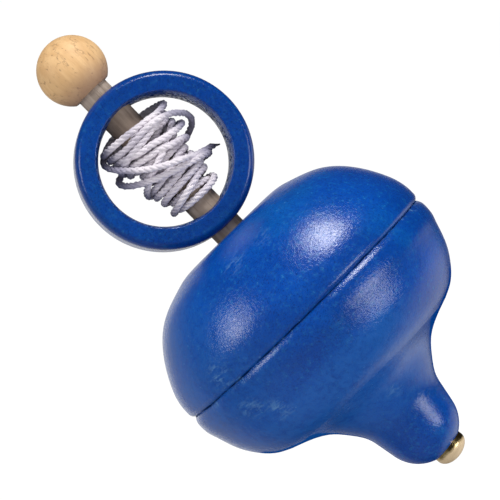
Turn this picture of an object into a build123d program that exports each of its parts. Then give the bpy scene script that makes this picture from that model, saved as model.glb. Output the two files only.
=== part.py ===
from build123d import *
import math
import os

# A wooden spinning top. A dowel spindle carries a ball knob at its upper end and a
# two-piece turned body at its lower end. A ring handle is bored across and turns
# freely on the spindle, and a pull cord is wound on the spindle inside the ring.
# Millimetres. The spin axis is Z, the ball is up, and Z = 0 is the lowest point of
# the brass tip. The ring's own axis is Y.

# Body: outline radii and heights
nose_radius = 11.6          # ball end of the nose
nose_centre_z = 14.8
nose_flare = 11.0           # degrees from the spin axis where the ball end stops
waist_radius = 12.65        # narrow end of the waist curve
waist_z = 19.2
shoulder_radius = 30.7      # fine turned edge between the waist and the bulb
shoulder_z = 34.95
waist_slope = (2.75, 1.0)   # outward and upward, below the edge
bulb_slope = (2.05, 1.0)    # and above it
belly_radius = 44.4
belly_z = 57.4              # the lower lip rounds inward from here
joint_z = 60.2              # glue joint between the halves
groove_radius = 43.3        # bottom of the groove that the two lips leave
upper_lip_z = 61.9          # the upper lip rounds inward below here
dome_start_z = 62.8
body_top_z = 90.3
body_top_radius = 9.0       # flat land round the spindle

# Spindle
spindle_radius = 4.9
spindle_bottom_z = 38.0
spindle_top_z = 157.0
spindle_chamfer = 0.6
glue_gap = 1.0              # space past each end of the dowel

# Ball knob
ball_radius = 10.1
ball_centre_z = 153.9
ball_flat_z = 145.85
ball_flat_fillet = 0.5

# Ring handle
ring_centre_z = 117.6
ring_outer_radius = 25.3
ring_width = 16.0
ring_crown_radius = 18.45   # inside, at the middle of the width
ring_face_inner = 19.4
ring_face_outer = 23.3
ring_band_width = 8.4       # plain outer band between the two round-overs
ring_edge_fillet = 0.4
ring_bore_radius = 5.5      # loose on the spindle
ring_offset = 0.45          # the ring hangs to the +X side of its loose bore

# Tip nail: driven square to the ball end, a little to one side of its pole
nail_lean = 7.8             # degrees
nail_head_radius = 5.15
nail_band = 1.1             # straight rim above the elliptical dome
nail_wall = 0.7
nail_shank_radius = 1.0
nail_shank_length = 18.0
nail_point_length = 3.0

# Pull cord
cord_diameter = 2.0
cord_hole_radius = 1.2
cord_hole_z = 119.0
winding_bottom_z = 102.4
winding_top_z = 132.6

# Centre line of the free tail, from the outermost turn to the cut end
tail_route = [
    (8.6, -4.4, 114.5),
    (12.05, -1.45, 112.88),
    (14.5, 2.2, 110.9),
]
tail_arc_share = 0.45       # of the shorter run beside a corner, used by its arc

cut_margin = 1.0            # how far each cut runs past the surface it opens


def sphere_height(radius, offset):
    """Height of a sphere's surface above its centre, at a distance from its axis."""
    return math.sqrt(radius ** 2 - offset ** 2)


os.makedirs("parts", exist_ok=True)

# Nail frame: local Y runs up the shank, and the origin is the centre of the ball end
lean = math.radians(nail_lean)
nail_plane = Plane(
    origin=(0, 0, nose_centre_z),
    x_dir=(math.cos(lean), 0, math.sin(lean)),
    z_dir=(0, -1, 0),
)
nail_axis = Axis(nail_plane.origin, nail_plane.y_dir)
head_underside = -sphere_height(nose_radius, nail_head_radius)
dome_rim = head_underside - nail_band
shank_top = head_underside + nail_shank_length
# The dome is as deep as it has to be for the leaning head to touch Z = 0
rim_centre_z = nose_centre_z + dome_rim * math.cos(lean)
dome_depth = sphere_height(rim_centre_z, nail_head_radius * math.sin(lean)) / math.cos(lean)

# Lower half of the body: nose, waist and bulb
flare = math.radians(nose_flare)
nose_end = (nose_radius * math.cos(flare), nose_centre_z - nose_radius * math.sin(flare))
nose_pole = (0, nose_centre_z - nose_radius)

with BuildPart() as body_lower:
    with BuildSketch(Plane.XZ):
        with BuildLine():
            TangentArc(nose_pole, nose_end, tangent=(1, 0))
            Line(nose_end, (waist_radius, waist_z))
            Spline(
                (waist_radius, waist_z),
                (15.8, 25.2),
                (19.8, 29.7),
                (25.8, 33.1),
                (shoulder_radius, shoulder_z),
                tangents=[(math.sin(flare), math.cos(flare)), waist_slope],
            )
            Spline(
                (shoulder_radius, shoulder_z),
                (34.0, 36.65),
                (38.4, 41.0),
                (41.5, 46.3),
                (43.5, 52.2),
                (belly_radius, belly_z),
                tangents=[bulb_slope, (0, 1)],
            )
            TangentArc(
                (belly_radius, belly_z), (groove_radius, joint_z), tangent=(0, 1)
            )
            Polyline(
                (groove_radius, joint_z),
                (0, joint_z),
                nose_pole,
            )
        make_face()
    revolve(axis=Axis.Z)
    with BuildSketch(Plane.XY.offset(joint_z)):
        Circle(spindle_radius)
    extrude(amount=-(joint_z - spindle_bottom_z + glue_gap), mode=Mode.SUBTRACT)
    with BuildSketch(nail_plane):
        with BuildLine():
            Polyline(
                (0, -nose_radius - cut_margin),
                (nail_shank_radius, -nose_radius - cut_margin),
                (nail_shank_radius, shank_top - nail_point_length),
                (0, shank_top),
                close=True,
            )
        make_face()
    revolve(axis=nail_axis, mode=Mode.SUBTRACT)

# Upper half of the body: the dome above the joint
with BuildPart() as body_upper:
    with BuildSketch(Plane.XZ):
        with BuildLine():
            Polyline(
                (spindle_radius, body_top_z),
                (spindle_radius, joint_z),
                (groove_radius, joint_z),
            )
            TangentArc(
                (belly_radius, upper_lip_z), (groove_radius, joint_z), tangent=(0, -1)
            )
            Line((belly_radius, upper_lip_z), (belly_radius, dome_start_z))
            Spline(
                (belly_radius, dome_start_z),
                (42.2, 71.4),
                (36.5, 80.4),
                (29.5, 86.1),
                (22.4, 88.8),
                (body_top_radius, body_top_z),
                tangents=[(0, 1), (-1, 0)],
            )
            Line((body_top_radius, body_top_z), (spindle_radius, body_top_z))
        make_face()
    revolve(axis=Axis.Z)

# Spindle: plain dowel with eased ends and the cord's cross hole
with BuildPart() as spindle:
    with BuildSketch(Plane.XY.offset(spindle_bottom_z)):
        Circle(spindle_radius)
    extrude(amount=spindle_top_z - spindle_bottom_z)
    chamfer(spindle.edges().filter_by(GeomType.CIRCLE), length=spindle_chamfer)
    with BuildSketch(Plane.XZ):
        with Locations((0, cord_hole_z)):
            Circle(cord_hole_radius)
    extrude(amount=spindle_radius + cut_margin, both=True, mode=Mode.SUBTRACT)

# Ball knob: bored from a flat on its underside
with BuildPart() as ball_knob:
    with Locations((0, 0, ball_centre_z)):
        Sphere(ball_radius)
    split(bisect_by=Plane.XY.offset(ball_flat_z), keep=Keep.TOP)
    fillet(ball_knob.edges().group_by(Axis.Z)[0], radius=ball_flat_fillet)
    with BuildSketch(Plane.XY.offset(ball_flat_z)):
        Circle(spindle_radius)
    extrude(amount=spindle_top_z + glue_gap - ball_flat_z, mode=Mode.SUBTRACT)

# Ring handle: flat faces, rounded outer edges, crowned inside
half_width = ring_width / 2
half_band = ring_band_width / 2
round_depth = half_width - half_band
round_drop = ring_outer_radius - ring_face_outer
ring_centre = (ring_offset, 0, ring_centre_z)
ring_plane = Plane(origin=ring_centre, x_dir=(0, 1, 0), z_dir=(1, 0, 0))

with BuildPart() as ring_handle:
    with BuildSketch(ring_plane):
        with BuildLine():
            Line((-half_width, ring_face_inner), (-half_width, ring_face_outer))
            EllipticalCenterArc(
                (-half_band, ring_face_outer), round_depth, round_drop, start_angle=90
            )
            Line((-half_band, ring_outer_radius), (half_band, ring_outer_radius))
            EllipticalCenterArc(
                (half_band, ring_face_outer), round_depth, round_drop, start_angle=0
            )
            Line((half_width, ring_face_outer), (half_width, ring_face_inner))
            ThreePointArc(
                (half_width, ring_face_inner),
                (0, ring_crown_radius),
                (-half_width, ring_face_inner),
            )
        make_face()
    revolve(axis=Axis(ring_centre, (0, 1, 0)))
    inner_edges = ring_handle.edges().filter_by(GeomType.CIRCLE).group_by(SortBy.RADIUS)[0]
    fillet(inner_edges, radius=ring_edge_fillet)
    with BuildSketch(Plane(origin=ring_centre)):
        Circle(ring_bore_radius)
    extrude(amount=ring_outer_radius + cut_margin, both=True, mode=Mode.SUBTRACT)

# Tip nail: thin brass dome seated on the ball end, with a pointed shank
cavity_radius = nail_head_radius - nail_wall
cavity_depth = dome_depth - nail_wall
cavity_top = -sphere_height(nose_radius, cavity_radius)
shank_turn = math.degrees(math.acos(nail_shank_radius / cavity_radius))
shank_foot = dome_rim - cavity_depth * math.sin(math.radians(shank_turn))

with BuildPart() as tip_nail:
    with BuildSketch(nail_plane):
        with BuildLine():
            EllipticalCenterArc((0, dome_rim), nail_head_radius, dome_depth, start_angle=270)
            Line((nail_head_radius, dome_rim), (nail_head_radius, head_underside))
            RadiusArc(
                (nail_head_radius, head_underside),
                (cavity_radius, cavity_top),
                radius=nose_radius,
            )
            Line((cavity_radius, cavity_top), (cavity_radius, dome_rim))
            EllipticalCenterArc(
                (0, dome_rim), cavity_radius, cavity_depth,
                start_angle=-shank_turn, arc_size=shank_turn,
            )
            Polyline(
                (nail_shank_radius, shank_foot),
                (nail_shank_radius, shank_top - nail_point_length),
                (0, shank_top),
                (0, dome_rim - dome_depth),
            )
        make_face()
    revolve(axis=nail_axis)

# Cord winding: the outer shape of the turns, with the run through the cross hole
with BuildPart() as cord_winding:
    with BuildSketch(Plane.XZ):
        with BuildLine():
            Polyline(
                (spindle_radius, winding_top_z),
                (spindle_radius, winding_bottom_z),
                (spindle_radius + cord_diameter / 2, winding_bottom_z),
            )
            Spline(
                (spindle_radius + cord_diameter / 2, winding_bottom_z),
                (8.5, 105.0),
                (9.2, 112.0),
                (11.4, 119.0),
                (11.8, 126.0),
                (10.4, 131.0),
                (spindle_radius + cord_diameter, winding_top_z),
            )
            Line(
                (spindle_radius + cord_diameter, winding_top_z),
                (spindle_radius, winding_top_z),
            )
        make_face()
    revolve(axis=Axis.Z)
    with BuildSketch(Plane.XZ):
        with Locations((0, cord_hole_z)):
            Circle(cord_diameter / 2)
    extrude(amount=spindle_radius + cord_diameter / 2, both=True)

# Cord tail: the free end, as large an arc as its two runs allow
tail_points = [Vector(*p) for p in tail_route]
runs = [b - a for a, b in zip(tail_points, tail_points[1:])]
tail_radii = []
for before, after in zip(runs, runs[1:]):
    half_turn = math.radians(before.get_angle(after)) / 2
    shorter = min(before.length, after.length)
    tail_radii.append(tail_arc_share * shorter / math.tan(half_turn))
print("tail runs", [round(r.length, 2) for r in runs], "radii", [round(r, 1) for r in tail_radii])

with BuildPart() as cord_tail:
    with BuildLine():
        tail_path = FilletPolyline(*tail_points, radius=tail_radii)
    with BuildSketch(Plane(origin=tail_points[0], z_dir=tail_path % 0)):
        Circle(cord_diameter / 2)
    sweep()
tail_length = tail_path.length
section = math.pi * cord_diameter ** 2 / 4
print("tail length", round(tail_length, 2), "volume ratio",
      round(cord_tail.part.volume / (section * tail_length), 4))

pieces = {
    "body_lower": body_lower,
    "body_upper": body_upper,
    "spindle": spindle,
    "ball_knob": ball_knob,
    "ring_handle": ring_handle,
    "tip_nail": tip_nail,
    "cord_winding": cord_winding,
    "cord_tail": cord_tail,
}
for name, piece in pieces.items():
    piece.part.label = name
    export_step(piece.part, f"parts/{name}.step")
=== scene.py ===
import math

import bmesh
import bpy
import numpy as np
from mathutils import Matrix, Vector


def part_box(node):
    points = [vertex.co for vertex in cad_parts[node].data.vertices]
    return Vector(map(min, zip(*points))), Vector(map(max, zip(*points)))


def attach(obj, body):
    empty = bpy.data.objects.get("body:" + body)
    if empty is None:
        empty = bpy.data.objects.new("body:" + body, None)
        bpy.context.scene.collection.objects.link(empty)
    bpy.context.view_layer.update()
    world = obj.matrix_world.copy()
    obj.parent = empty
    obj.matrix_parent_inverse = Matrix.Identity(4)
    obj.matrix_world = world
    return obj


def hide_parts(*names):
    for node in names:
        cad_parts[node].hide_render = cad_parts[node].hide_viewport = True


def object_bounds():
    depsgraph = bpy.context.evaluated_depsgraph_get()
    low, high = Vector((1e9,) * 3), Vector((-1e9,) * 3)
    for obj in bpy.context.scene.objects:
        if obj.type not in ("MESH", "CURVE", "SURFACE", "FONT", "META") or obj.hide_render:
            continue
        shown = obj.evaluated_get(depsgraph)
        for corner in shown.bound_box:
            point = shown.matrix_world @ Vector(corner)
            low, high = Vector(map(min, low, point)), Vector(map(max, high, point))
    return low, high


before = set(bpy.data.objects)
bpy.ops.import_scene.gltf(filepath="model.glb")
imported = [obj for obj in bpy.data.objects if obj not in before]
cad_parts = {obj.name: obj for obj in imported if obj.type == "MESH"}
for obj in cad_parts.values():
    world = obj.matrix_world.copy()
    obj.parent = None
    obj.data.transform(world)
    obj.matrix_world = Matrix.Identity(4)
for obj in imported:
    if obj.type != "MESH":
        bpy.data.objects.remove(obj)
cad_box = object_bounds()

# A wooden spinning top: blue lacquered body and ring handle, plain dowel spindle, beech ball knob,
# brass tip nail, and a white twisted pull cord wound on the spindle inside the ring.
# Metres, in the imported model's frame. Z is the spin axis.
MM = 0.001
rng = np.random.default_rng(7)

spindle_low, spindle_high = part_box("spindle")
ring_low, ring_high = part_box("ring_handle")
SPINDLE_RADIUS = (spindle_high.x - spindle_low.x) / 2
RING_HEIGHT = (ring_low.z + ring_high.z) / 2
RING_HOLE_RADIUS = 19.4 * MM       # at the ring's faces
JOINT_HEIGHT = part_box("body_upper")[0].z

# ---------------------------------------------------------------- camera

LENS_MM = 237.6
SENSOR_MM = 36.0
CAMERA_DISTANCE = 0.93
CAMERA_AZIMUTH = -6.3
CAMERA_ELEVATION = 0.71
OBJECT_LEAN = 44.5                 # degrees that the top leans to the left in the picture
AIM_HEIGHT = 82.8 * MM
AIM_RIGHT = 0.37 * MM


def view_axes(azimuth, elevation):
    """The right, up and back directions of a level camera."""
    a, e = math.radians(azimuth), math.radians(elevation)
    back = Vector((math.sin(a) * math.cos(e), -math.cos(a) * math.cos(e), math.sin(e)))
    right = Vector((math.cos(a), math.sin(a), 0))
    return right, back.cross(right), back


def make_camera():
    """A long lens at the photograph's angle, rolled so that the top leans as it does there."""
    right, up, back = view_axes(CAMERA_AZIMUTH, CAMERA_ELEVATION)
    lean = math.radians(OBJECT_LEAN)
    camera_right = right * math.cos(lean) - up * math.sin(lean)
    camera_up = up * math.cos(lean) + right * math.sin(lean)
    aim = Vector((0, 0, AIM_HEIGHT)) + right * AIM_RIGHT
    data = bpy.data.cameras.new("camera")
    data.lens = LENS_MM
    data.sensor_width = SENSOR_MM
    data.clip_start = 0.01
    data.clip_end = 200
    camera = bpy.data.objects.new("camera", data)
    rotation = Matrix((camera_right, camera_up, back)).transposed()
    camera.matrix_world = Matrix.Translation(aim + back * CAMERA_DISTANCE) @ rotation.to_4x4()
    bpy.context.scene.collection.objects.link(camera)
    bpy.context.scene.camera = camera


make_camera()

# ---------------------------------------------------------------- pull cord

CORD_DIAMETER = 2.0 * MM
CORD_GAP = 1.9 * MM                # centre to centre, which the settling aims for
HOLE_HEIGHT = 119.0 * MM
FIRST_LAYER = SPINDLE_RADIUS + CORD_DIAMETER / 2
FREE_RADIUS = 16.8 * MM            # from the axis at the ring's middle: inside it, a turn clears the ring
STEPS_PER_QUARTER = 6              # points in a quarter turn
KINK = 0.35 * MM                   # how far the soft cord strays from a smooth turn
KINK_STEPS = 4                     # points from one stray to the next
HOLE_QUARTER = 1.8                 # where the cord leaves the spindle, in quarter turns as below
HOLE_DEPTH = 0.8 * MM              # how far inside the hole's mouth it starts
LOOSE_HOLD = 0.10                  # how firmly a listed loose turn keeps its place as it settles
CLOSE_HOLD = 0.02                  # and a close inner turn
SAME_TURN = 5                      # points along the cord that don't push each other
PUSH = 0.5                         # share of an overlap that a point gives way in one round
SMOOTHING = 0.06                   # share of the way to the middle of its neighbours
TILT_PACE = 2.1                    # radians in a quarter turn, of the inner turns' tilt
HEIGHT_STRAY = 0.6                 # random share of a layer's stray, up or down
RADIUS_STRAY = 0.8                 # and outwards
ANY_SIDE = (0.3, 0.2, 1.0)         # a direction that no end of the cord points in

# The close inner layers, as turns, first and last height, first and last radius, and how far the
# turns tilt and stray, in millimetres.
LAYERS = [
    (1.0, 119.0, 123.0, 6.0, 6.0, 0.0),
    (6.5, 123.0, 103.8, 6.8, 6.0, 0.6),
    (8.0, 103.8, 126.0, 7.8, 7.8, 1.2),
]

# The loose outer turns, as listed stations: quarter turns from the side that faces the
# camera by way of the right, radius and height in millimetres.
LOOSE_TURNS = [
    (0.0, 9.0, 126.6), (1.0, 9.8, 125.4), (2.0, 9.4, 125.4), (3.0, 10.0, 124.0),
    (4.0, 9.8, 121.0), (5.0, 10.0, 118.2), (6.0, 9.6, 120.0), (6.6, 11.6, 123.2),
    (7.0, 13.3, 122.0), (7.3, 12.4, 119.0), (7.6, 11.0, 116.6), (8.0, 10.0, 114.0),
    (8.6, 10.4, 111.6), (9.0, 12.0, 110.6), (10.0, 9.4, 112.0), (11.0, 9.6, 113.4),
    (12.0, 9.8, 118.6), (13.0, 10.2, 124.2), (14.0, 9.6, 124.6), (15.0, 10.4, 126.2),
    (16.0, 10.6, 123.4), (16.5, 11.0, 121.4), (17.0, 12.2, 122.0), (18.0, 9.8, 125.4),
    (19.0, 10.4, 128.4), (20.0, 10.6, 127.0), (20.4, 11.8, 127.6), (20.65, 13.8, 126.0),
    (20.85, 15.0, 123.6), (21.0, 15.5, 121.6), (21.2, 14.8, 119.6), (21.4, 13.0, 118.0),
    (22.0, 9.8, 119.4), (23.0, 10.2, 123.6), (24.0, 10.8, 125.6), (25.0, 10.2, 127.6),
    (26.0, 9.6, 128.4), (27.0, 10.8, 130.6), (28.0, 10.6, 129.4), (28.6, 11.4, 128.4),
    (29.0, 12.6, 129.4), (29.5, 11.0, 132.4), (30.0, 8.8, 133.1), (30.6, 9.4, 132.4),
    (31.0, 12.7, 129.2), (31.3, 13.0, 125.8), (31.6, 12.6, 121.6), (32.0, 12.0, 116.4),
    (32.4, 11.8, 113.0),
]

# The free tail, near the model's plain tube, and its pointed end past it, in millimetres
TAIL_ROUTE = [(9.0, -4.2, 112.1), (12.1, -1.4, 111.5), (14.2, 1.6, 110.9), (15.6, 2.3, 110.1)]


def on_turn(quarters, radius, height):
    """A point of the winding, in metres."""
    angle = math.radians(CAMERA_AZIMUTH - 90 + 90 * quarters)
    return radius * math.cos(angle), radius * math.sin(angle), height


def stations():
    """Every station of the winding from the cross hole outwards: quarter turns, radius, height."""
    quarter = HOLE_QUARTER
    rows = [(quarter, SPINDLE_RADIUS - HOLE_DEPTH, HOLE_HEIGHT)]
    for turns, first, last, inner, outer, stray in LAYERS:
        steps = int(4 * turns)
        for i in range(1, steps + 1):
            share = i / steps
            quarter += 1
            tilt = stray * math.sin(TILT_PACE * quarter) + rng.uniform(-HEIGHT_STRAY, HEIGHT_STRAY) * stray
            height = first + (last - first) * share + tilt
            radius = inner + (outer - inner) * share + rng.uniform(0, RADIUS_STRAY) * stray
            rows.append((quarter, radius * MM, height * MM))
    start = math.ceil((quarter + 0.5) / 4) * 4
    rows += [(start + q, r * MM, z * MM) for q, r, z in LOOSE_TURNS]
    return np.array(rows)


def smooth_rows(rows):
    """Points on a smooth curve through the stations, evenly spaced in quarter turns."""
    q = rows[:, 0]
    slopes = np.gradient(rows, q, axis=0)
    at = np.arange(q[0], q[-1], 1 / STEPS_PER_QUARTER)
    i = np.clip(np.searchsorted(q, at, side="right") - 1, 0, len(q) - 2)
    width = (q[i + 1] - q[i])[:, None]
    t = ((at - q[i]) / width[:, 0])[:, None]
    h00, h10 = 2 * t**3 - 3 * t**2 + 1, t**3 - 2 * t**2 + t
    h01, h11 = 3 * t**2 - 2 * t**3, t**3 - t**2
    return h00 * rows[i] + h10 * width * slopes[i] + h01 * rows[i + 1] + h11 * width * slopes[i + 1]


def wound_points():
    """The winding before it settles, as points in metres, and how firmly each keeps its place."""
    rows = smooth_rows(stations())
    loose = rows[:, 0] > rows[-1, 0] - LOOSE_TURNS[-1][0]
    kink = np.zeros((len(rows), 3))
    for k in range(3):
        coarse = rng.uniform(-1, 1, len(rows) // KINK_STEPS + 2)
        kink[:, k] = np.interp(np.arange(len(rows)) / KINK_STEPS, np.arange(len(coarse)), coarse)
    points = np.array([on_turn(*row) for row in rows]) + kink * KINK
    return points, np.where(loose, LOOSE_HOLD, CLOSE_HOLD)[:, None]


def settle(points, hold, rounds=160):
    """Moves turns that lie in each other apart, keeping them off the spindle and clear of the ring.
    It doesn't part them all: in three places two turns still pass through each other."""
    p, home = points.copy(), points.copy()
    middle = np.array((0, 0, RING_HEIGHT))
    n = len(p)
    apart = np.abs(np.subtract.outer(np.arange(n), np.arange(n))) > SAME_TURN
    for _ in range(rounds):
        between = p[:, None, :] - p[None, :, :]
        distance = np.sqrt((between**2).sum(2)) + 1e-9
        overlap = np.where(apart, np.clip(CORD_GAP - distance, 0, None), 0)
        push = (between / distance[:, :, None] * overlap[:, :, None]).sum(1)
        count = np.maximum((overlap > 0).sum(1), 1)[:, None]
        p += PUSH * push / count
        p[1:-1] += SMOOTHING * ((p[:-2] + p[2:]) / 2 - p[1:-1])
        p += hold * (home - p)
        out = np.hypot(p[:, 0], p[:, 1])
        p[:, :2] *= np.maximum(1, FIRST_LAYER / out)[:, None]
        from_middle = p - middle
        reach = np.sqrt((from_middle**2).sum(1))
        p = middle + from_middle * np.minimum(1, FREE_RADIUS / reach)[:, None]
        p[:2], p[-2:] = home[:2], home[-2:]
    return p


def curve_points(points, resolution=3):
    """Points on the smooth NURBS line that has these control points."""
    data = bpy.data.curves.new("cord_line", "CURVE")
    data.dimensions = "3D"
    spline = data.splines.new("NURBS")
    spline.points.add(len(points) - 1)
    for point, co in zip(spline.points, points):
        point.co = (*co, 1)
    spline.order_u = 3
    spline.use_endpoint_u = True
    spline.resolution_u = resolution
    holder = bpy.data.objects.new("cord_line", data)
    mesh = bpy.data.meshes.new_from_object(holder)
    line = np.array([v.co for v in mesh.vertices])
    bpy.data.meshes.remove(mesh)
    bpy.data.objects.remove(holder)
    bpy.data.curves.remove(data)
    return line


def frames_along(line):
    """Two side directions for each point, square to the line and not twisting along it."""
    tangent = np.gradient(line, axis=0)
    tangent /= np.linalg.norm(tangent, axis=1)[:, None]
    side = np.zeros_like(line)
    side[0] = np.cross(tangent[0], ANY_SIDE)
    for i in range(1, len(line)):
        side[i] = side[i - 1] - tangent[i] * (side[i - 1] @ tangent[i])
        side[i] /= np.linalg.norm(side[i])
    side[0] /= np.linalg.norm(side[0])
    return side, np.cross(tangent, side)


def add_tube(vertices, faces, centres, radii, sides):
    """Adds a closed tube round a line of centres to the vertex and face lists."""
    side, other = frames_along(centres)
    base = len(vertices)
    turn = np.arange(sides) * 2 * math.pi / sides
    for c, r, s, o in zip(centres, radii, side, other):
        vertices.extend(c + r * (math.cos(a) * s + math.sin(a) * o) for a in turn)
    for i in range(len(centres) - 1):
        ring = base + i * sides
        for k in range(sides):
            after = (k + 1) % sides
            faces.append((ring + k, ring + after, ring + sides + after, ring + sides + k))
    faces.append(tuple(base + k for k in reversed(range(sides))))
    faces.append(tuple(base + (len(centres) - 1) * sides + k for k in range(sides)))


STRANDS = 3
STRAND_SIDES = 8
STRAND_RADIUS = 0.57 * MM
HELIX_RADIUS = 0.50 * MM           # from the cord's middle line to a strand's
STRAND_PITCH = 5.4 * MM
TIP_LENGTH = 3.0 * MM              # over which the cut end narrows
TIP_SHARE = 0.25                   # of the full thickness at the very end


def make_cord():
    """The twisted cord, as three strands round one line from the cross hole to the cut end."""
    winding = settle(*wound_points())
    tail = np.array(TAIL_ROUTE) * MM
    line = curve_points(np.vstack([winding, tail]))
    steps = np.linalg.norm(np.diff(line, axis=0), axis=1)
    along = np.concatenate([[0], np.cumsum(steps)])
    side, other = frames_along(line)
    taper = np.clip((along[-1] - along) / TIP_LENGTH, TIP_SHARE, 1)
    strand_radius = STRAND_RADIUS * taper
    helix_radius = HELIX_RADIUS * taper
    vertices, faces = [], []
    for k in range(STRANDS):
        phase = 2 * math.pi * (along / STRAND_PITCH + k / STRANDS)
        offset = np.cos(phase)[:, None] * side + np.sin(phase)[:, None] * other
        add_tube(vertices, faces, line + helix_radius[:, None] * offset, strand_radius, STRAND_SIDES)
    mesh = bpy.data.meshes.new("pull_cord")
    mesh.from_pydata([tuple(v) for v in vertices], [], faces)
    mesh.polygons.foreach_set("use_smooth", [True] * len(mesh.polygons))
    cord = bpy.data.objects.new("pull_cord", mesh)
    bpy.context.scene.collection.objects.link(cord)
    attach(cord, "top")
    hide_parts("cord_winding", "cord_tail")
    return cord


pull_cord = make_cord()

# ---------------------------------------------------------------- material tools


class Shader:
    """A material's node tree, with one short method for each kind of node."""

    def __init__(self, name):
        self.material = bpy.data.materials.new(name)
        self.material.use_nodes = True
        self.tree = self.material.node_tree
        self.tree.nodes.clear()
        self.place = self.node("ShaderNodeTexCoord").outputs["Object"]

    def node(self, kind, **settings):
        """A new node of this kind with these settings."""
        made = self.tree.nodes.new(kind)
        for key, value in settings.items():
            setattr(made, key, value)
        return made

    def feed(self, socket, value):
        """Links another node's output to the socket, or sets it to a value."""
        if isinstance(value, bpy.types.NodeSocket):
            self.tree.links.new(value, socket)
        elif value is not None:
            socket.default_value = value

    def math(self, operation, a, b=None, c=None, clamp=False):
        """The result of one Math node."""
        made = self.node("ShaderNodeMath", operation=operation, use_clamp=clamp)
        for socket, value in zip(made.inputs, (a, b, c)):
            self.feed(socket, value)
        return made.outputs[0]

    def stretch(self, x, y, z):
        """Coordinates scaled apart on each axis, for grain and streaks."""
        made = self.node("ShaderNodeVectorMath", operation="MULTIPLY")
        self.feed(made.inputs[0], self.place)
        made.inputs[1].default_value = (x, y, z)
        return made.outputs[0]

    def axes(self):
        """The x, y and z of the place on the object, in metres."""
        made = self.node("ShaderNodeSeparateXYZ")
        self.feed(made.inputs[0], self.place)
        return made.outputs

    def noise(self, scale, detail=3.0, roughness=0.5, distortion=0.0, vector=None):
        """Noise from 0 to 1. Scale is in features per metre."""
        made = self.node("ShaderNodeTexNoise")
        self.feed(made.inputs["Vector"], vector or self.place)
        made.inputs["Scale"].default_value = scale
        made.inputs["Detail"].default_value = detail
        made.inputs["Roughness"].default_value = roughness
        made.inputs["Distortion"].default_value = distortion
        return made.outputs["Fac"]

    def rise(self, value, low, high):
        """0 below low, 1 above high and smooth between them. Low may be the larger."""
        if low > high:
            return self.math("SUBTRACT", 1.0, self.rise(value, high, low))
        made = self.node("ShaderNodeMapRange", interpolation_type="SMOOTHSTEP")
        for name, v in (("Value", value), ("From Min", low), ("From Max", high)):
            self.feed(made.inputs[name], v)
        return made.outputs["Result"]

    def blend(self, share, a, b):
        """Colour a, turning into colour b as share goes from 0 to 1."""
        made = self.node("ShaderNodeMix", data_type="RGBA")
        self.feed(made.inputs["Factor"], share)
        self.feed(made.inputs["A"], (*a, 1) if isinstance(a, tuple) else a)
        self.feed(made.inputs["B"], (*b, 1) if isinstance(b, tuple) else b)
        return made.outputs["Result"]

    def spot(self, x, y, z, radius, core=0.0):
        """1 within the core round a place on the object, falling to 0 at the radius, in metres."""
        made = self.node("ShaderNodeVectorMath", operation="DISTANCE")
        self.feed(made.inputs[0], self.place)
        made.inputs[1].default_value = (x, y, z)
        return self.rise(made.outputs["Value"], radius, core)

    def bump(self, height, distance, normal=None):
        """A normal bumped by a height from 0 to 1, on top of another normal. Distance is in metres."""
        made = self.node("ShaderNodeBump")
        made.inputs["Distance"].default_value = distance
        self.feed(made.inputs["Height"], height)
        self.feed(made.inputs["Normal"], normal)
        return made.outputs["Normal"]

    def finish(self, **sockets):
        """Ends the tree in one Principled shader and returns the material."""
        shader = self.node("ShaderNodeBsdfPrincipled")
        output = self.node("ShaderNodeOutputMaterial")
        for name, value in sockets.items():
            socket = shader.inputs[name.replace("_", " ").title().replace("Ior", "IOR")]
            self.feed(socket, (*value, 1) if isinstance(value, tuple) else value)
        self.tree.links.new(shader.outputs[0], output.inputs[0])
        return self.material


def dress(material, *names):
    """Gives CAD nodes a material."""
    for name in names:
        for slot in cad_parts[name].material_slots:
            slot.material = material


# ---------------------------------------------------------------- blue lacquer

BODY_TONE = 0.95                   # share of the colours below
# The ring's paint is the body's made darker: painted shade.
RING_SHADE_TONE = 0.69
BLUE = (0.0008, 0.056, 0.345)
BLUE_LIGHT = (0.0012, 0.074, 0.420)
BLUE_WORN = (0.003, 0.140, 0.420)
BLUE_DARK = (0.001, 0.018, 0.105)
# Paler blue of the painted light on the body
BLUE_PAINTED_LIGHT = (0.008, 0.100, 0.42)
PALE_WEAR_AND_GLINT = (0.12, 0.29, 0.54)

# Rubbed places on the front of the body, the two at the top front (height about 82) being a painted
# highlight: right of the axis, height, body's radius there and the patch's own radius, in millimetres
RUBBED_AND_HIGHLIT_PATCHES = [
    (-29, 64.5, 43.2, 7), (-29, 52, 42.6, 6), (-24, 47, 41, 6),
    (-5, 82, 32, 6), (5, 81.5, 32, 5), (2, 29, 16, 5),
]


def on_front(right, height, radius):
    """A place on the front of the body, in metres."""
    quarters = math.degrees(math.asin(right / radius)) / 90
    return on_turn(quarters, radius * MM, height * MM)


def dulled_low_down(s):
    """1 where paint near the waist is seen edge-on. It loses gloss there, because the low light's
    glare would hide the waist against the white background."""
    _, _, z = s.axes()
    edge_on = s.rise(s.node("ShaderNodeLayerWeight").outputs["Facing"], 0.74, 0.86)
    return s.math("MULTIPLY", s.rise(z, 46 * MM, 40 * MM), edge_on)


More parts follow.
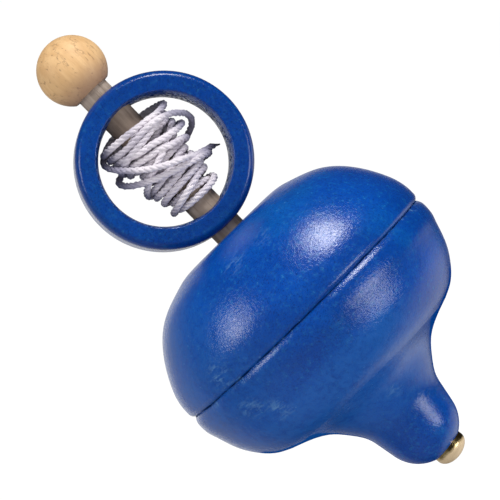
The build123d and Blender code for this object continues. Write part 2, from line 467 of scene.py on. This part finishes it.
def lacquer(name, tone, extra_pale, extra_dark, painted_light_tint=None):
    """Brushed-on blue gloss paint: mottled, orange-peeled, with fine specks. The extras give the
    share of pale marks (wear, painted glints and a painted highlight), the share of darkening (dirt at
    the joint, painted shade on the ring's inner wall) and a change of tint (painted shade and light)."""
    s = Shader(name)
    shades = [tuple(tone * c for c in shade) for shade in (BLUE, BLUE_LIGHT, BLUE_WORN)]
    cloud = s.noise(70, detail=5, roughness=0.6)
    colour = s.blend(s.rise(cloud, 0.35, 0.70), shades[0], shades[1])
    faded = s.rise(s.noise(38, detail=6, roughness=0.7), 0.48, 0.68)
    colour = s.blend(s.math("MULTIPLY", faded, 0.35), colour, shades[2])
    grain = s.noise(2300, detail=3, roughness=0.7)
    colour = s.blend(s.math("MULTIPLY", s.rise(grain, 0.52, 0.35), 0.55), colour, BLUE_DARK)
    mottle = s.noise(750, detail=5, roughness=0.65)
    colour = s.blend(s.math("MULTIPLY", s.rise(mottle, 0.50, 0.72), 0.60), colour, shades[2])
    # The body's painted shade and painted light.
    if painted_light_tint:
        colour = painted_light_tint(s, colour)
    specks = s.math("MULTIPLY", s.rise(s.noise(850, detail=1), 0.76, 0.84), s.rise(cloud, 0.48, 0.62))
    colour = s.blend(s.math("MULTIPLY", specks, 0.40), colour, PALE_WEAR_AND_GLINT)
    # Pale wear, and painted glints on the ring's inner wall and a painted highlight on the body's top
    # front.
    colour = s.blend(extra_pale(s), colour, PALE_WEAR_AND_GLINT)
    # Dark dirt at the body's joint, and painted shade on the ring's inner wall.
    darkening = extra_dark(s)
    colour = s.blend(darkening, colour, BLUE_DARK)
    peel = s.bump(s.noise(380, detail=2), 0.065 * MM)
    peel = s.bump(s.noise(1250, detail=4, roughness=0.65, distortion=0.6), 0.08 * MM, normal=peel)
    roughness = s.math("MULTIPLY_ADD", s.rise(mottle, 0.3, 0.8), 0.12, 0.17)
    roughness = s.math("MULTIPLY_ADD", darkening, 0.5, roughness)
    gloss = s.math("MULTIPLY_ADD", s.math("MAXIMUM", darkening, dulled_low_down(s)), -0.5, 0.5)
    return s.finish(base_color=colour, roughness=roughness, normal=peel, specular_ior_level=gloss, ior=1.5)


def body_wear_and_highlight(s):
    """The share of pale marks: chipped paint along the joint's lips, rubbed patches, and a painted
    highlight at the top front.
    """
    _, _, z = s.axes()
    lip = s.math("MULTIPLY", s.rise(z, JOINT_HEIGHT - 2.2 * MM, JOINT_HEIGHT - 0.4 * MM),
                 s.rise(z, JOINT_HEIGHT + 1.2 * MM, JOINT_HEIGHT))
    chips = s.rise(s.noise(260, detail=5, roughness=0.7), 0.55, 0.66)
    wear = s.math("MULTIPLY", s.math("MULTIPLY", lip, chips), 0.6)
    scratched = s.rise(s.noise(1.0, detail=5, roughness=0.75, vector=s.stretch(300, 300, 900)), 0.46, 0.66)
    # Two of the patches are a painted highlight at the top front.
    for right, height, radius, size in RUBBED_AND_HIGHLIT_PATCHES:
        patch = s.spot(*on_front(right, height, radius), size * MM)
        marked_share = s.math("MULTIPLY", s.math("MULTIPLY", patch, scratched), 0.65)
        wear = s.math("MAXIMUM", wear, marked_share)
    return wear


def body_crack(s):
    """The share of dark dirt: an uneven line at the glue joint."""
    _, _, z = s.axes()
    waver = s.math("MULTIPLY_ADD", s.noise(180, detail=3), 0.9 * MM, -0.45 * MM)
    off = s.math("ABSOLUTE", s.math("SUBTRACT", s.math("ADD", z, waver), JOINT_HEIGHT))
    return s.math("MULTIPLY", s.rise(off, 0.40 * MM, 0.10 * MM), s.rise(s.noise(230, detail=4), 0.35, 0.6))


def body_painted_light(s, colour):
    """Painted light on the paint: painted shade round the belly by the joint, and a paler, patchy painted
    light round the lower curve and on the left side.
    """
    x, _, z = s.axes()
    # Painted shade: darker round the belly above and below the joint.
    joint_shade = s.math("MULTIPLY", s.rise(z, 46 * MM, 54 * MM), s.rise(z, 72 * MM, 62 * MM))
    colour = s.blend(s.math("MULTIPLY", joint_shade, 0.20), colour, BLUE_DARK)
    # Painted light: a paler, patchy blue round the lower curve and on the left side.
    lower = s.math("MULTIPLY", s.rise(z, 50 * MM, 44 * MM), s.rise(z, 12 * MM, 32 * MM))
    lower = s.math("MULTIPLY", lower, s.rise(x, 26 * MM, 6 * MM))
    side = s.math("MULTIPLY", s.rise(x, -10 * MM, -32 * MM), 0.5)
    pale_light = s.math("MAXIMUM", s.math("MULTIPLY", lower, 0.75), side)
    patchy = s.rise(s.noise(420, detail=6, roughness=0.75, distortion=0.4), 0.36, 0.60)
    patchy = s.math("MULTIPLY_ADD", patchy, 0.9, 0.45)
    return s.blend(s.math("MULTIPLY", pale_light, patchy, clamp=True), colour, BLUE_PAINTED_LIGHT)


def ring_inside(s):
    """1 on the ring's inner wall, 0 on its faces and outside."""
    x, _, z = s.axes()
    up = s.math("SUBTRACT", z, RING_HEIGHT)
    out = s.math("SQRT", s.math("ADD", s.math("MULTIPLY", x, x), s.math("MULTIPLY", up, up)))
    return s.rise(out, RING_HOLE_RADIUS + 0.1 * MM, RING_HOLE_RADIUS - 0.3 * MM)


def ring_painted_glints(s):
    """Painted glints: pale flecks on the inner wall."""
    flecks = s.rise(s.noise(1500, detail=3, roughness=0.7), 0.52, 0.66)
    return s.math("MULTIPLY", s.math("MULTIPLY", ring_inside(s), flecks), 0.6)


def ring_painted_shade(s):
    """Painted shade: dark patches between the flecks of the inner wall."""
    darkening = s.rise(s.noise(1100, detail=4, roughness=0.7), 0.54, 0.46)
    return s.math("MULTIPLY", s.math("MULTIPLY", ring_inside(s), darkening), 0.9)


dress(lacquer("blue_lacquer_body", BODY_TONE, body_wear_and_highlight, body_crack, body_painted_light), "body_upper", "body_lower")
# The ring: the body's paint made darker for painted shade, with painted glints and painted shade on its
# inner wall.
dress(lacquer("blue_lacquer_ring", RING_SHADE_TONE, ring_painted_glints, ring_painted_shade), "ring_handle")

# ---------------------------------------------------------------- bare wood

BEECH_PALE = (0.76, 0.49, 0.24)
BEECH_DEEP = (0.65, 0.39, 0.175)
BEECH_FINE = (0.48, 0.27, 0.12)
BEECH_FLECK = (0.26, 0.14, 0.07)
BEECH_LINE = (0.33, 0.19, 0.09)
BEECH_SHADE = (0.36, 0.21, 0.14)
DOWEL_PALE = (0.50, 0.41, 0.34)
DOWEL_GREY = (0.31, 0.245, 0.20)
DOWEL_PORE = (0.14, 0.10, 0.07)
DOWEL_DIRT = (0.20, 0.14, 0.10)
DOWEL_SHADE = (0.18, 0.12, 0.085)


def beech():
    """The ball: pale beech with short dark flecks along the grain, and painted shade towards its flat foot.
    """
    s = Shader("beech")
    ball_low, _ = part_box("ball_knob")
    grain = s.noise(1.0, detail=4, distortion=0.3, vector=s.stretch(420, 420, 45))
    colour = s.blend(s.rise(grain, 0.3, 0.7), BEECH_PALE, BEECH_DEEP)
    fine = s.noise(1.0, detail=3, roughness=0.7, vector=s.stretch(1900, 1900, 180))
    colour = s.blend(s.math("MULTIPLY", s.rise(fine, 0.5, 0.8), 0.5), colour, BEECH_FINE)
    flecks = s.rise(s.noise(1.0, detail=1, vector=s.stretch(1300, 1300, 230)), 0.68, 0.73)
    colour = s.blend(s.math("MULTIPLY", flecks, 0.5), colour, BEECH_FLECK)
    wave = s.noise(1.0, detail=3, roughness=0.6, vector=s.stretch(330, 330, 110))
    lines = s.rise(s.math("ABSOLUTE", s.math("SUBTRACT", wave, 0.5)), 0.016, 0.0)
    lines = s.math("MULTIPLY", lines, s.rise(s.noise(260, detail=2), 0.45, 0.6))
    colour = s.blend(s.math("MULTIPLY", lines, 0.75), colour, BEECH_LINE)
    _, _, z = s.axes()
    # Painted shade: browner towards the flat foot.
    foot_shade = s.rise(z, ball_low.z + 8 * MM, ball_low.z)
    colour = s.blend(s.math("MULTIPLY", foot_shade, 0.75), colour, BEECH_SHADE)
    hollows = s.math("ADD", flecks, lines)
    normal = s.bump(s.math("SUBTRACT", grain, hollows), 0.07 * MM)
    return s.finish(base_color=colour, roughness=0.55, normal=normal, ior=1.45)


def dowel_wood():
    """The spindle: greyish unfinished dowel with straight fine grain, and painted shade from the ring's top
    down.
    """
    s = Shader("dowel_wood")
    grain = s.noise(1.0, detail=4, vector=s.stretch(900, 900, 25))
    colour = s.blend(s.rise(grain, 0.3, 0.7), DOWEL_PALE, DOWEL_GREY)
    pores = s.rise(s.noise(1.0, detail=2, vector=s.stretch(2400, 2400, 160)), 0.60, 0.72)
    colour = s.blend(s.math("MULTIPLY", pores, 0.6), colour, DOWEL_PORE)
    darkening = s.rise(s.noise(120, detail=4, roughness=0.6), 0.45, 0.70)
    colour = s.blend(s.math("MULTIPLY", darkening, 0.5), colour, DOWEL_DIRT)
    _, _, z = s.axes()
    # Painted shade: darker from just under the ring's top downwards.
    in_ring_shade = s.rise(z, ring_high.z, ring_high.z - 6 * MM)
    colour = s.blend(s.math("MULTIPLY", in_ring_shade, 0.35), colour, DOWEL_SHADE)
    normal = s.bump(s.math("SUBTRACT", grain, pores), 0.05 * MM)
    return s.finish(base_color=colour, roughness=0.7, normal=normal, ior=1.45)


dress(beech(), "ball_knob")
dress(dowel_wood(), "spindle")

# ---------------------------------------------------------------- brass

BRASS_BRIGHT = (0.80, 0.60, 0.28)
BRASS_TARNISH = (0.50, 0.33, 0.12)
BRASS_DULL = (0.86, 0.66, 0.42)


def brass():
    """The tip nail: yellow brass, tarnished in patches, and paler and duller on the dome."""
    s = Shader("brass")
    tarnish = s.noise(500, detail=5, roughness=0.65)
    colour = s.blend(s.rise(tarnish, 0.45, 0.75), BRASS_BRIGHT, BRASS_TARNISH)
    _, _, z = s.axes()
    dull = s.rise(s.math("MULTIPLY_ADD", tarnish, 1.2 * MM, z), 4.4 * MM, 3.1 * MM)
    colour = s.blend(dull, colour, BRASS_DULL)
    scratches = s.noise(1.0, detail=3, vector=s.stretch(3000, 3000, 400))
    normal = s.bump(scratches, 0.02 * MM)
    roughness = s.math("MULTIPLY_ADD", dull, 0.25, 0.22)
    metal = s.math("MULTIPLY_ADD", dull, -0.65, 1.0)
    return s.finish(base_color=colour, metallic=metal, roughness=roughness, normal=normal)


dress(brass(), "tip_nail")

# ---------------------------------------------------------------- cord material

COTTON_WHITE = (0.76, 0.71, 0.76)
COTTON_GREY = (0.50, 0.46, 0.54)
COTTON_SIDE_SHADE = (0.24, 0.23, 0.33)
COTTON_TAIL_SHADE = (0.20, 0.19, 0.27)
COTTON_CUT = (0.05, 0.045, 0.06)


def cotton():
    """White twisted cotton, with painted shade in the loops at the sides and along the tail, and dark at
    the cut end.
    """
    s = Shader("cotton_cord")
    soil = s.noise(140, detail=4)
    colour = s.blend(s.rise(soil, 0.35, 0.75), COTTON_WHITE, COTTON_GREY)
    x, _, _ = s.axes()
    # Painted shade: greyer in the loops at the sides.
    marked_share = s.rise(s.math("ABSOLUTE", x), 6.5 * MM, 11.5 * MM)
    colour = s.blend(s.math("MULTIPLY", marked_share, 0.8), colour, COTTON_SIDE_SHADE)
    cut_end = [c * MM for c in TAIL_ROUTE[-1]]
    # Painted shade: greyer along the tail near the cut end.
    tail_shade = s.spot(*cut_end, 9 * MM, core=5.5 * MM)
    colour = s.blend(s.math("MULTIPLY", tail_shade, 0.8), colour, COTTON_TAIL_SHADE)
    dark = s.spot(*cut_end, 3 * MM)
    colour = s.blend(s.math("MULTIPLY", dark, 0.9), colour, COTTON_CUT)
    fibres = s.noise(3200, detail=3, roughness=0.7)
    normal = s.bump(fibres, 0.12 * MM)
    return s.finish(base_color=colour, roughness=0.9, normal=normal, ior=1.4)


pull_cord.data.materials.append(cotton())

# ---------------------------------------------------------------- light and floor

LIGHT_DISTANCE = 0.9
PAPER_WHITE = 1.02                 # what the camera sees of the room and the floor
level_right, level_up, level_back = view_axes(CAMERA_AZIMUTH, 0)
object_centre = Vector((0, 0, (cad_box[0][2] + cad_box[1][2]) / 2))


def softbox(name, right, towards, up, watts, size):
    """A square soft light in a direction given by the level camera's axes."""
    direction = (level_right * right + level_back * towards + level_up * up).normalized()
    data = bpy.data.lights.new(name, "AREA")
    data.shape = "SQUARE"
    data.size = size
    data.energy = watts
    light = bpy.data.objects.new(name, data)
    light.location = object_centre + direction * LIGHT_DISTANCE
    light.rotation_euler = direction.to_track_quat("Z", "Y").to_euler()
    bpy.context.scene.collection.objects.link(light)


softbox("key_light", 0.657, 0.384, 0.651, watts=6.3, size=0.31)
softbox("left_light", -0.635, 0.425, 0.646, watts=1.8, size=0.27)
softbox("low_light", 0.64, 0.60, -0.47, watts=2.7, size=0.38)

# Large pale cards, made as soft glows of the world: the direction in right, towards and up of the
# level camera, the strength, and the cosines between which each glow rises. They are placed to
# give the highlights that the photograph shows.
GLOWS = [
    ((-0.95, 0.15, -0.20), 0.12, 0.20, 0.95),
    ((-0.30, 0.35, -0.89), 0.16, 0.50, 1.00),
    ((0.45, -0.52, -0.72), 0.95, 0.78, 0.97),
    ((-0.62, -0.78, 0.05), 0.35, 0.72, 0.97),
    ((-0.10, -0.99, 0.05), 0.60, 0.90, 0.98),
    ((0.0, -0.80, 0.60), 0.02, 0.40, 0.95),
]


def make_world(shown=PAPER_WHITE, dimmest=0.01):
    """A pale room: white where the camera sees it, and in reflections dark but for the cards' glows."""
    world = bpy.data.worlds.new("studio")
    world.use_nodes = True
    tree = world.node_tree
    ray = tree.nodes.new("ShaderNodeTexCoord").outputs["Generated"]
    total = dimmest
    for (right, towards, up), strength, low, high in GLOWS:
        card = (level_right * right + level_back * towards + level_up * up).normalized()
        facing = tree.nodes.new("ShaderNodeVectorMath")
        facing.operation = "DOT_PRODUCT"
        tree.links.new(ray, facing.inputs[0])
        facing.inputs[1].default_value = card
        glow = tree.nodes.new("ShaderNodeMapRange")
        glow.interpolation_type = "SMOOTHSTEP"
        glow.inputs["From Min"].default_value = low
        glow.inputs["From Max"].default_value = high
        glow.inputs["To Max"].default_value = strength
        tree.links.new(facing.outputs["Value"], glow.inputs["Value"])
        added = tree.nodes.new("ShaderNodeMath")
        tree.links.new(glow.outputs["Result"], added.inputs[0])
        if isinstance(total, float):
            added.inputs[1].default_value = total
        else:
            tree.links.new(total, added.inputs[1])
        total = added.outputs[0]
    path = tree.nodes.new("ShaderNodeLightPath")
    seen = tree.nodes.new("ShaderNodeMapRange")
    seen.inputs["To Max"].default_value = shown
    tree.links.new(total, seen.inputs["To Min"])
    tree.links.new(path.outputs["Is Camera Ray"], seen.inputs["Value"])
    background = tree.nodes["Background"]
    tree.links.new(seen.outputs["Result"], background.inputs["Strength"])
    background.inputs["Color"].default_value = (1, 1, 1, 1)
    bpy.context.scene.world = world


def glowing(name, strength):
    """A plain white material that shines by itself."""
    material = bpy.data.materials.new(name)
    material.use_nodes = True
    shader = material.node_tree.nodes["Principled BSDF"]
    shader.inputs["Base Color"].default_value = (0.08, 0.08, 0.08, 1)
    shader.inputs["Roughness"].default_value = 1.0
    shader.inputs["Specular IOR Level"].default_value = 0.0
    shader.inputs["Emission Color"].default_value = (1, 1, 1, 1)
    shader.inputs["Emission Strength"].default_value = strength
    return material


def make_tent(radius=3.0, left=0.85, right=0.25, front=1.15, back=0.15):
    """A round white light tent, brighter on the left and dim behind the object: even light on matt
    surfaces, without a reflection in the gloss."""
    mesh = bpy.data.meshes.new("light_tent")
    form = bmesh.new()
    bmesh.ops.create_icosphere(form, subdivisions=4, radius=radius)
    form.to_mesh(mesh)
    form.free()
    material = glowing("light_tent", left)
    material.cycles.emission_sampling = "NONE"
    tree = material.node_tree
    place = tree.nodes.new("ShaderNodeSeparateXYZ")
    tree.links.new(tree.nodes.new("ShaderNodeTexCoord").outputs["Object"], place.inputs[0])
    strength = tree.nodes.new("ShaderNodeMath")
    strength.operation = "MULTIPLY"
    for socket, axis, low, high in ((0, "X", left, right), (1, "Y", front, back)):
        across = tree.nodes.new("ShaderNodeMapRange")
        across.inputs["From Min"].default_value = -radius
        across.inputs["From Max"].default_value = radius
        across.inputs["To Min"].default_value = low
        across.inputs["To Max"].default_value = high
        tree.links.new(place.outputs[axis], across.inputs["Value"])
        tree.links.new(across.outputs["Result"], strength.inputs[socket])
    tree.links.new(strength.outputs[0], tree.nodes["Principled BSDF"].inputs["Emission Strength"])
    mesh.materials.append(material)
    tent = bpy.data.objects.new("light_tent", mesh)
    bpy.context.scene.collection.objects.link(tent)
    tent.visible_camera = False
    tent.visible_glossy = False
    tent.visible_shadow = False


def make_floor(half_size=40.0, drop=0.2 * MM):
    """A plain pale floor under the tip."""
    mesh = bpy.data.meshes.new("floor")
    corners = [(-1, -1), (1, -1), (1, 1), (-1, 1)]
    mesh.from_pydata([(x * half_size, y * half_size, -drop) for x, y in corners], [], [(0, 1, 2, 3)])
    floor = bpy.data.objects.new("floor", mesh)
    bpy.context.scene.collection.objects.link(floor)
    mesh.materials.append(glowing("floor", PAPER_WHITE))
    floor.visible_shadow = False
    floor.visible_diffuse = False
    floor.visible_glossy = False


make_world()
make_tent()
make_floor()
bpy.context.scene.view_settings.view_transform = "Standard"
